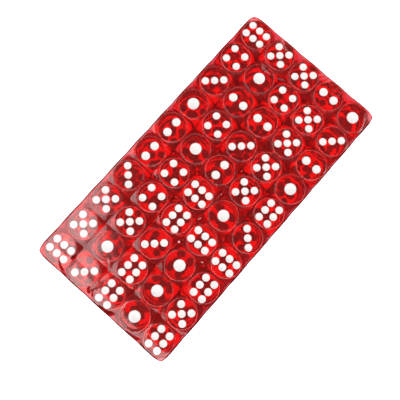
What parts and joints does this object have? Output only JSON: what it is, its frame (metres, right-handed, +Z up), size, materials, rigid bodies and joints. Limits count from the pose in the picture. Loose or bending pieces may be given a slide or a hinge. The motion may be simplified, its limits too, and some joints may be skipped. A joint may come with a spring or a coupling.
{
  "type": "shrink-wrapped brick of casino dice",
  "caption": "Flat brick of translucent red dice with white pips, packed edge to edge in two layers and held tight in clear shrink film.",
  "frame": {"origin": "middle of the flat underside of the film, on the surface that the brick lies on", "axes": "+X along the ten dice of a row, towards the welded end; +Y across the five rows, towards row 1; +Z up, from the lower layer to the upper layer"},
  "size_m": [0.163, 0.083, 0.0325],
  "materials": {
    "die_plastic": "polished translucent",
    "pip_paint": "satin paint",
    "film": "clear glossy film"
  },
  "bodies": {
    "lower_wrap": {"lower_film": "film"},
    "lower_layer": {"lower_row_1_dice": "die_plastic", "lower_row_1_pips": "pip_paint", "lower_row_2_dice": "die_plastic", "lower_row_2_pips": "pip_paint", "lower_row_3_dice": "die_plastic", "lower_row_3_pips": "pip_paint", "lower_row_4_dice": "die_plastic", "lower_row_4_pips": "pip_paint", "lower_row_5_dice": "die_plastic", "lower_row_5_pips": "pip_paint"},
    "upper_layer": {"upper_row_1_dice": "die_plastic", "upper_row_1_pips": "pip_paint", "upper_row_2_dice": "die_plastic", "upper_row_2_pips": "pip_paint", "upper_row_3_dice": "die_plastic", "upper_row_3_pips": "pip_paint", "upper_row_4_dice": "die_plastic", "upper_row_4_pips": "pip_paint", "upper_row_5_dice": "die_plastic", "upper_row_5_pips": "pip_paint"},
    "upper_wrap": {"upper_film": "film"}
  },
  "joints": [
    {"name": "lower_layer_lift", "type": "slide", "parent": "lower_wrap", "child": "lower_layer", "axis": [0, 0, 1], "range_m": [0, 0.04]},
    {"name": "upper_layer_lift", "type": "slide", "parent": "lower_layer", "child": "upper_layer", "axis": [0, 0, 1], "range_m": [0, 0.04]},
    {"name": "upper_wrap_lift", "type": "slide", "parent": "upper_layer", "child": "upper_wrap", "axis": [0, 0, 1], "range_m": [0, 0.04]}
  ]
}
